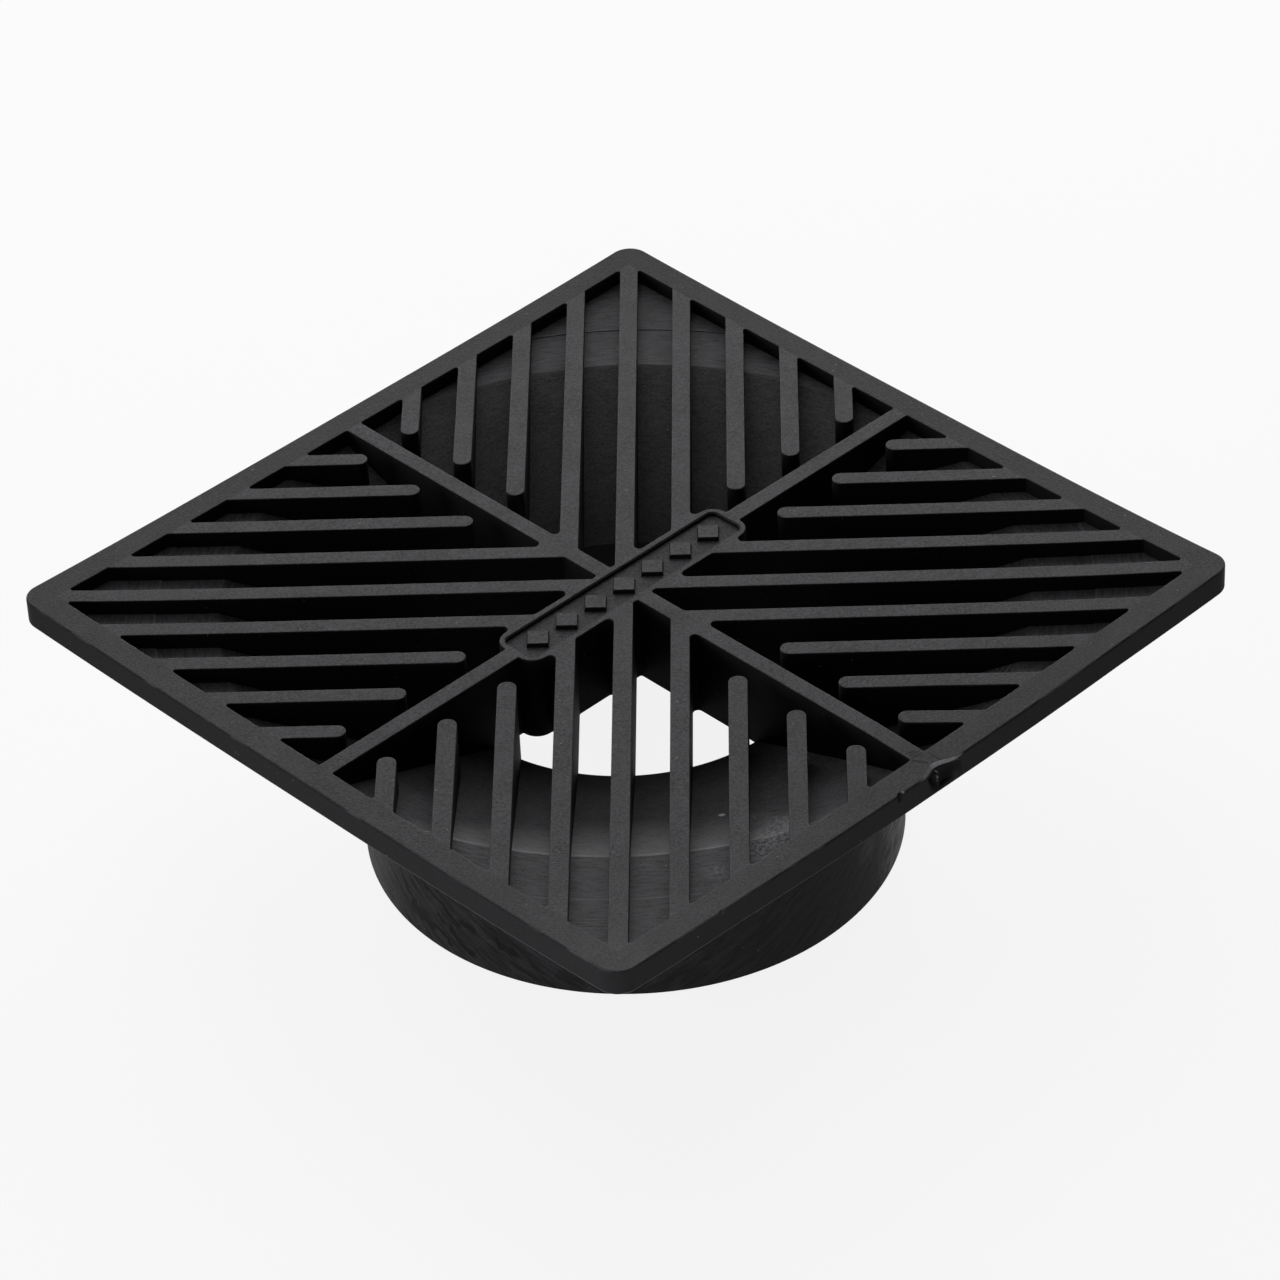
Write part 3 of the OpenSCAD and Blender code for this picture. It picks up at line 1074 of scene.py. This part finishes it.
# The photograph's view, solved from the grille's own pattern
CAMERA_AIM = Vector((-9.45 * MM, -13.59 * MM, TOP))
CAMERA_DISTANCE = 969.45 * MM
CAMERA_HEADING, CAMERA_ELEVATION, CAMERA_ROLL = -132.847, 37.474, -2.812
CAMERA_LENS, SENSOR_WIDTH = 158.75, 36.0


def direction(heading, elevation):
    """The unit vector towards a heading from +X and an elevation, both in degrees."""
    heading, elevation = math.radians(heading), math.radians(elevation)
    level = math.cos(elevation)
    return Vector((level * math.cos(heading), level * math.sin(heading), math.sin(elevation)))


def add_camera(scene):
    """A camera that looks at the grate as the photograph does."""
    data = bpy.data.cameras.new("camera")
    data.sensor_width = SENSOR_WIDTH
    data.lens = CAMERA_LENS
    data.clip_start, data.clip_end = 0.05, 20.0
    camera = new_object("camera", data)
    back = direction(CAMERA_HEADING, CAMERA_ELEVATION)
    camera.location = CAMERA_AIM + back * CAMERA_DISTANCE
    roll = Quaternion((0, 0, 1), math.radians(CAMERA_ROLL))
    camera.rotation_mode = "QUATERNION"
    camera.rotation_quaternion = back.to_track_quat("Z", "Y") @ roll
    scene.camera = camera


def seen_directly(tree):
    """1 where a camera, glossy or transmitted ray sees the surface, else 0."""
    path = tree.nodes.new("ShaderNodeLightPath").outputs
    seen = path["Is Camera Ray"]
    for ray in ("Is Glossy Ray", "Is Transmission Ray"):
        either = add_node(tree, "ShaderNodeMath", (seen, path[ray]), operation="MAXIMUM")
        seen = either.outputs[0]
    return seen


# The share of the floor's white that glows, so that the grate's shadow on it stays soft
FLOOR_GLOW = 0.87


def add_floor(colours):
    """A large white floor, which shows the grate's shadow softly.

    Rays that light the grate meet it as dark grey, so that it doesn't brighten the sides.
    """
    reach = 4.0
    corners = [(-reach, -reach, 0), (reach, -reach, 0), (reach, reach, 0), (-reach, reach, 0)]
    mesh = bpy.data.meshes.new("floor")
    mesh.from_pydata(corners, [], [(0, 1, 2, 3)])
    floor = new_object("floor", mesh)
    material = bpy.data.materials.new("white_paper")
    material.use_nodes = True
    tree = material.node_tree
    tree.nodes.clear()
    paper = add_node(tree, "ShaderNodeBsdfDiffuse", {"Color": colours.backdrop})
    glow = add_node(tree, "ShaderNodeEmission", {"Color": colours.backdrop, "Strength": 1.0})
    shares = (FLOOR_GLOW, paper.outputs[0], glow.outputs[0])
    pale = add_node(tree, "ShaderNodeMixShader", shares)
    dull = add_node(tree, "ShaderNodeBsdfDiffuse", {"Color": (0.1, 0.1, 0.1)})
    by_ray = (seen_directly(tree), dull.outputs[0], pale.outputs[0])
    mix = add_node(tree, "ShaderNodeMixShader", by_ray)
    add_node(tree, "ShaderNodeOutputMaterial", (mix.outputs[0],))
    mesh.materials.append(material)


def add_lamp(name, heading, elevation, distance, width, height, share, spread):
    """A soft lamp aimed at the grate. share is its part of the light level it faces.

    A spread under 180 degrees stands for a grid, which keeps the lamp's light off the floor.
    """
    data = bpy.data.lights.new(name, "AREA")
    data.shape = "RECTANGLE"
    data.size, data.size_y = width, height
    data.energy = math.pi**2 * share * distance**2
    if spread < 180:
        half = math.radians(spread / 2)
        data.spread = 2 * half
        data.energy *= 1 - half / math.tan(half)
    lamp = new_object(name, data)
    towards = direction(heading, elevation)
    lamp.location = Vector((0, 0, TOP)) + towards * distance
    lamp.rotation_mode = "QUATERNION"
    lamp.rotation_quaternion = towards.to_track_quat("Z", "Y")
    lamp.visible_camera = False


# Soft lamps of a plain studio: heading and elevation in degrees, distance, width and height
# in metres, their share of the light level, and their spread in degrees
LAMPS = (
    ("lamp_behind", 50, 38, 1.5, 3.2, 1.1, 0.85, 180),
    ("lamp_low", 45, 7.5, 1.5, 3.0, 0.2, 0.9, 180),
    ("lamp_above", 90, 80, 1.4, 1.0, 1.0, 0.12, 180),
    ("lamp_left", 135, 10, 1.3, 0.8, 0.8, 0.27, 180),
    ("lamp_near", 215, -2, 0.3, 0.14, 0.05, 0.38, 60),
)


def set_world(scene):
    """A white surround, which lights the grate only weakly."""
    world = bpy.data.worlds.new("white_surround")
    scene.world = world
    world.use_nodes = True
    tree = world.node_tree
    tree.nodes.clear()
    white = (1.0, 1.0, 1.0)
    light = add_node(tree, "ShaderNodeBackground", {"Color": white, "Strength": 0.025})
    add_node(tree, "ShaderNodeOutputWorld", (light.outputs[0],))


class GRATE_PT_panel(bpy.types.Panel):
    """Lists the sizes, colours and build steps"""

    bl_idname = "GRATE_PT_panel"
    bl_label = "Drain Grate"
    bl_space_type = "VIEW_3D"
    bl_region_type = "UI"
    bl_category = "Drain Grate"

    def draw(self, context):
        layout = self.layout
        for group in (context.scene.drain_grate_sizes, context.scene.drain_grate_colours):
            column = layout.column()
            for name in group.__annotations__:
                column.prop(group, name)
        for operator in OPERATORS:
            layout.operator(operator.bl_idname)


OPERATORS = (GRATE_OT_moulding, GRATE_OT_stage)
CLASSES = (GrateSizes, GrateColours, *OPERATORS, GRATE_PT_panel)


def register():
    for item in CLASSES:
        bpy.utils.register_class(item)
    bpy.types.Scene.drain_grate_sizes = PointerProperty(type=GrateSizes)
    bpy.types.Scene.drain_grate_colours = PointerProperty(type=GrateColours)


def unregister():
    del bpy.types.Scene.drain_grate_colours
    del bpy.types.Scene.drain_grate_sizes
    for item in reversed(CLASSES):
        bpy.utils.unregister_class(item)


def main():
    """Builds the grate and its stage."""
    register()
    bpy.context.scene.view_settings.view_transform = "Standard"
    bpy.ops.drain_grate.moulding()
    bpy.ops.drain_grate.stage()


if __name__ == "__main__":
    main()
